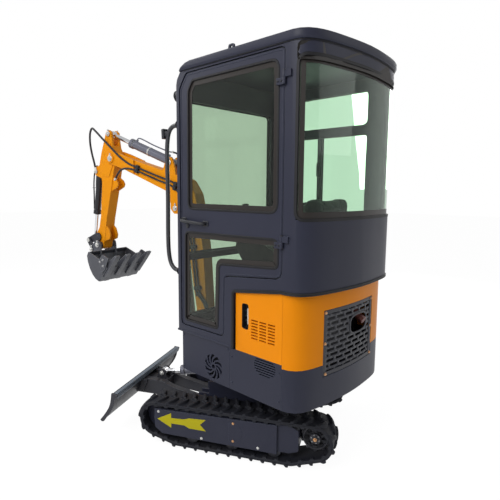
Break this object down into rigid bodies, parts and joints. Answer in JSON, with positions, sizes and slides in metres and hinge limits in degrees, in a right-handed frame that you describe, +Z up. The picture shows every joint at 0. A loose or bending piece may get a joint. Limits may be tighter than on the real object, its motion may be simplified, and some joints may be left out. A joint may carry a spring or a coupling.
{
  "type": "mini excavator",
  "caption": "Compact excavator on rubber tracks with a closed cab, a front-swinging boom and arm with a toothed bucket, and a dozer blade.",
  "frame": {"origin": "centre of the machine's outline on the ground it stands on", "axes": "+X the way the cab faces, +Y to its left, +Z up; the tracks are turned 27.1 degrees to the left of the cab and the boom 12 degrees"},
  "size_m": [2.3977, 1.4678, 2.296],
  "materials": {
    "rubber": "matte",
    "body": "satin",
    "dark": "satin",
    "steel": "machined",
    "grey": "satin",
    "chrome": "polished",
    "yellow": "satin",
    "engine": "cast",
    "glass": "clear, tinted green",
    "black": "matte",
    "cushion": "woven",
    "orange": "satin"
  },
  "bodies": {
    "undercarriage": {"car_body": "body", "swing_bearing": "steel", "track_frame_left": "body", "track_frame_right": "body", "track_left": "rubber", "track_right": "rubber", "sprocket_left": "dark", "sprocket_right": "dark"},
    "blade": {"blade": "dark"},
    "blade_cylinder": {"blade_cylinder": "grey"},
    "blade_cylinder_rod": {"blade_cylinder_rod": "chrome"},
    "door": {"door_frame": "body", "door_glass_upper": "glass", "door_glass_lower": "glass", "door_handle": "black"},
    "kingpost": {"kingpost": "orange"},
    "swing_cylinder": {"swing_cylinder": "grey"},
    "swing_cylinder_rod": {"swing_cylinder_rod": "chrome"},
    "boom": {"boom": "orange"},
    "boom_cylinder": {"boom_cylinder": "grey"},
    "boom_cylinder_rod": {"boom_cylinder_rod": "chrome"},
    "arm": {"arm": "orange"},
    "arm_cylinder": {"arm_cylinder": "grey"},
    "arm_cylinder_rod": {"arm_cylinder_rod": "chrome"},
    "bucket_cylinder": {"bucket_cylinder": "grey"},
    "bucket_cylinder_rod": {"bucket_cylinder_rod": "chrome"},
    "bucket_rocker": {"bucket_rocker": "dark"},
    "bucket_link": {"bucket_link_left": "dark", "bucket_link_right": "dark"},
    "bucket": {"bucket": "dark"},
    "house": {"house_deck": "dark", "panel_left_front": "body", "skirt_left": "body", "panel_left_rear": "yellow", "panel_right_front": "body", "skirt_right": "body", "panel_right_rear": "yellow", "panel_front": "body", "counterweight": "body", "rear_hood": "yellow", "rear_grille": "dark", "engine_block": "engine", "muffler": "steel", "cab_frame": "body", "roof": "body", "rear_glass": "glass", "right_glass_upper": "glass", "right_glass_lower": "glass", "windshield_upper": "glass", "windshield_lower": "glass", "grab_rail": "black", "work_lamp": "black", "seat_cushion": "cushion", "seat_back": "cushion", "seat_consoles": "black", "travel_levers": "black", "dash": "black"}
  },
  "joints": [
    {"name": "swing", "type": "hinge", "parent": "undercarriage", "child": "house", "pos_m": [-0.40997, -0.0629, 0.422], "axis": [0, 0, 1], "continuous": true},
    {"name": "boom_swing", "type": "hinge", "parent": "house", "child": "kingpost", "pos_m": [-0.03997, -0.0629, 0.522], "axis": [0, 0, 1], "range_deg": [-72, 48]},
    {"name": "boom", "type": "hinge", "parent": "kingpost", "child": "boom", "pos_m": [0.0334, -0.0473, 0.655], "axis": [0.2079, -0.9781, 0], "range_deg": [-90, 13]},
    {"name": "arm", "type": "hinge", "parent": "boom", "child": "arm", "pos_m": [0.88243, 0.13316, 1.786], "axis": [-0.2079, 0.9781, 0], "range_deg": [-58, 22]},
    {"name": "bucket", "type": "hinge", "parent": "arm", "child": "bucket", "pos_m": [1.04382, 0.16747, 1.098], "axis": [-0.2079, 0.9781, 0], "range_deg": [-85, 25]},
    {"name": "blade", "type": "hinge", "parent": "undercarriage", "child": "blade", "pos_m": [-0.1429, 0.07377, 0.14], "axis": [0.4555, -0.8902, 0], "range_deg": [-25, 12]},
    {"name": "door", "type": "hinge", "parent": "house", "child": "door", "pos_m": [-1.00997, 0.3861, 1.3], "axis": [0, 0, 1], "range_deg": [0, 155]},
    {"name": "boom_cylinder_pivot", "type": "hinge", "parent": "kingpost", "child": "boom_cylinder", "pos_m": [0.14588, -0.02339, 0.48], "axis": [0.2079, -0.9781, 0], "range_deg": [-85.14, 12.73]},
    {"name": "boom_cylinder_stroke", "type": "slide", "parent": "boom_cylinder", "child": "boom_cylinder_rod", "axis": [0.1215, 0.0258, 0.9923], "range_m": [-0.2926, 0.044]},
    {"name": "arm_cylinder_pivot", "type": "hinge", "parent": "boom", "child": "arm_cylinder", "pos_m": [0.31021, 0.01153, 1.741], "axis": [-0.2079, 0.9781, 0], "range_deg": [-5.46, 2.38]},
    {"name": "arm_cylinder_stroke", "type": "slide", "parent": "arm_cylinder", "child": "arm_cylinder_rod", "axis": [0.9146, 0.1944, 0.3546], "range_m": [-0.1842, 0.0711]},
    {"name": "bucket_cylinder_pivot", "type": "hinge", "parent": "arm", "child": "bucket_cylinder", "pos_m": [1.07512, 0.17412, 1.69], "axis": [-0.2079, 0.9781, 0], "range_deg": [-1.31, 0.74]},
    {"name": "bucket_cylinder_stroke", "type": "slide", "parent": "bucket_cylinder", "child": "bucket_cylinder_rod", "axis": [0.1528, 0.0325, -0.9877], "range_m": [-0.1048, 0.0322]},
    {"name": "blade_cylinder_pivot", "type": "hinge", "parent": "undercarriage", "child": "blade_cylinder", "pos_m": [-0.16783, 0.06101, 0.336], "axis": [0.4555, -0.8902, 0], "range_deg": [-20.67, 10.18]},
    {"name": "blade_cylinder_stroke", "type": "slide", "parent": "blade_cylinder", "child": "blade_cylinder_rod", "axis": [0.8786, 0.4496, -0.1609], "range_m": [-0.0401, 0.0814]},
    {"name": "swing_cylinder_pivot", "type": "hinge", "parent": "house", "child": "swing_cylinder", "pos_m": [-0.46997, -0.2929, 0.543], "axis": [0, 0, 1], "range_deg": [-1.32, 1.73]},
    {"name": "swing_cylinder_stroke", "type": "slide", "parent": "swing_cylinder", "child": "swing_cylinder_rod", "axis": [0.9685, 0.2489, 0], "range_m": [-0.1228, 0.0825]},
    {"name": "bucket_rocker", "type": "hinge", "parent": "arm", "child": "bucket_rocker", "pos_m": [1.06828, 0.17267, 1.16], "axis": [-0.2079, 0.9781, 0], "range_deg": [-64.13, 19.21]},
    {"name": "bucket_link", "type": "hinge", "parent": "bucket_rocker", "child": "bucket_link", "pos_m": [1.16169, 0.19252, 1.1303], "axis": [-0.2079, 0.9781, 0], "range_deg": [-17.84, 59.45]}
  ],
  "couplings": [
    {"joint": "boom_cylinder_pivot", "follows": "boom", "ratio": 0.9404},
    {"joint": "boom_cylinder_stroke", "follows": "boom", "m_per_rad": 0.185},
    {"joint": "arm_cylinder_pivot", "follows": "arm", "ratio": 0.0856},
    {"joint": "arm_cylinder_stroke", "follows": "arm", "m_per_rad": 0.18},
    {"joint": "bucket_cylinder_pivot", "follows": "bucket", "ratio": 0.0095},
    {"joint": "bucket_cylinder_stroke", "follows": "bucket", "m_per_rad": 0.0693},
    {"joint": "blade_cylinder_pivot", "follows": "blade", "ratio": 0.8068},
    {"joint": "blade_cylinder_stroke", "follows": "blade", "m_per_rad": -0.182},
    {"joint": "swing_cylinder_pivot", "follows": "boom_swing", "ratio": -0.0171},
    {"joint": "swing_cylinder_stroke", "follows": "boom_swing", "m_per_rad": 0.0961},
    {"joint": "bucket_rocker", "follows": "bucket", "ratio": 0.7486},
    {"joint": "bucket_link", "follows": "bucket", "ratio": -0.6935}
  ]
}
